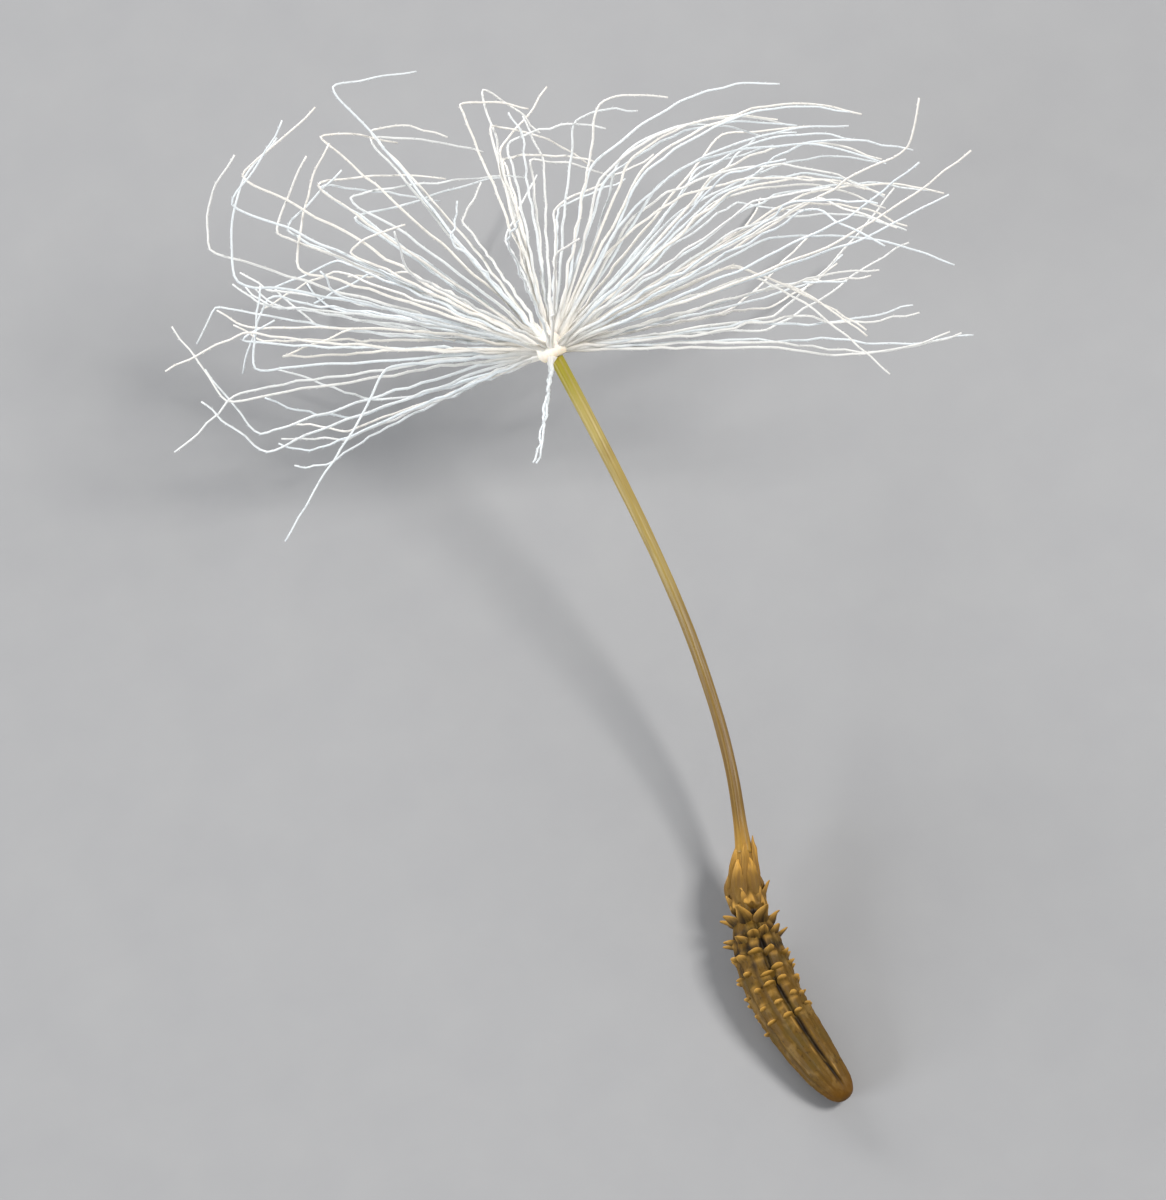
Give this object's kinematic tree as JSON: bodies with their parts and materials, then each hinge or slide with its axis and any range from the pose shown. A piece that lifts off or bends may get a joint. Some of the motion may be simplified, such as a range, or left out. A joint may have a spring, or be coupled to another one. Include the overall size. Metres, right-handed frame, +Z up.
{
  "type": "dandelion seed",
  "caption": "Single dry dandelion seed lying down: ribbed toothed brown achene, long thin curved beak and a lopsided fan of fine white pappus bristles.",
  "frame": {"origin": "middle of the small flat spot that the achene rests on", "axes": "+Z up from the surface; +Y along the seed in plan, from the achene towards the pappus; +X to the right of it"},
  "size_m": [0.0124, 0.0166, 0.0093],
  "materials": {
    "achene": "dry golden-brown fruit wall, finely ribbed, matt with a slight sheen",
    "beak": "dry straw stalk, satin, finely striped lengthwise",
    "pappus": "silky white hair, slightly translucent"
  },
  "bodies": {
    "root": {"achene": "achene", "beak": "beak", "pappus": "pappus"}
  },
  "joints": []
}
